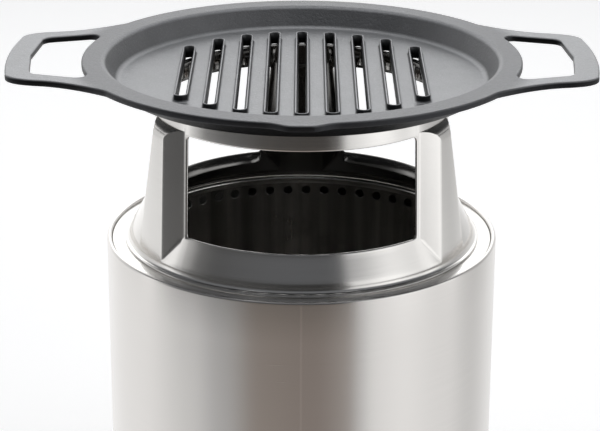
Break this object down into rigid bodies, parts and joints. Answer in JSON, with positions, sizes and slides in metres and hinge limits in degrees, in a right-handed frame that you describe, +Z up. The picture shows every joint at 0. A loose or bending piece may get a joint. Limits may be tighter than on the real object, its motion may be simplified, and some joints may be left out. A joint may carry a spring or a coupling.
{
  "type": "camping stove",
  "caption": "Round double-walled steel wood stove with a lift-out flame ring, a three-legged steel hub on the ring and a slotted cast-iron grill top with two open grips.",
  "frame": {"origin": "centre of the stove's base, on the surface it stands on", "axes": "+Z up, +X to the right along the two grips, -Y to the front, where the small rim tab is"},
  "size_m": [0.562, 0.435, 0.4949],
  "materials": {
    "brushed_wall": "fine horizontal brushing",
    "chamber_steel": "plain rolled steel, darker inside the fire chamber",
    "plate_steel": "plain rolled plate",
    "ring_steel": "polished in circles",
    "hub_steel": "satin, brushed around",
    "cast_iron": "seasoned, fine sand-cast grain",
    "wire_steel": "bright drawn wire"
  },
  "bodies": {
    "root": {"outer_wall": "brushed_wall", "inner_wall": "chamber_steel", "floor_pan": "chamber_steel", "grate_ledge": "chamber_steel"},
    "ash_pan": {"ash_pan": "plate_steel", "ash_pan_clip_left": "plate_steel", "ash_pan_clip_right": "plate_steel", "ash_pan_rivet_1": "wire_steel", "ash_pan_rivet_2": "wire_steel", "ash_pan_rivet_3": "wire_steel", "ash_pan_rivet_4": "wire_steel"},
    "ash_pan_handle": {"ash_pan_handle": "wire_steel"},
    "fire_grate": {"fire_grate": "plate_steel", "fire_grate_clip_left": "plate_steel", "fire_grate_clip_right": "plate_steel", "fire_grate_rivet_1": "wire_steel", "fire_grate_rivet_2": "wire_steel", "fire_grate_rivet_3": "wire_steel", "fire_grate_rivet_4": "wire_steel"},
    "fire_grate_handle": {"fire_grate_handle": "wire_steel"},
    "flame_ring": {"flame_ring": "ring_steel"},
    "hub": {"hub_shell": "hub_steel"},
    "grill": {"grill_top": "cast_iron"}
  },
  "joints": [
    {"name": "ash_pan_lift", "type": "slide", "parent": "root", "child": "ash_pan", "axis": [0, 0, 1], "range_m": [0, 0.12]},
    {"name": "ash_pan_handle_fold", "type": "hinge", "parent": "ash_pan", "child": "ash_pan_handle", "pos_m": [0, 0, 0.0093], "axis": [1, 0, 0], "range_deg": [0, 180]},
    {"name": "fire_grate_lift", "type": "slide", "parent": "ash_pan", "child": "fire_grate", "axis": [0, 0, 1], "range_m": [0, 0.12]},
    {"name": "fire_grate_handle_fold", "type": "hinge", "parent": "fire_grate", "child": "fire_grate_handle", "pos_m": [0, 0, 0.0809], "axis": [1, 0, 0], "range_deg": [0, 180]},
    {"name": "flame_ring_lift", "type": "slide", "parent": "root", "child": "flame_ring", "axis": [0, 0, 1], "range_m": [0, 0.1]},
    {"name": "hub_lift", "type": "slide", "parent": "flame_ring", "child": "hub", "axis": [0, 0, 1], "range_m": [0, 0.1]},
    {"name": "grill_lift", "type": "slide", "parent": "hub", "child": "grill", "axis": [0, 0, 1], "range_m": [0, 0.1]}
  ]
}
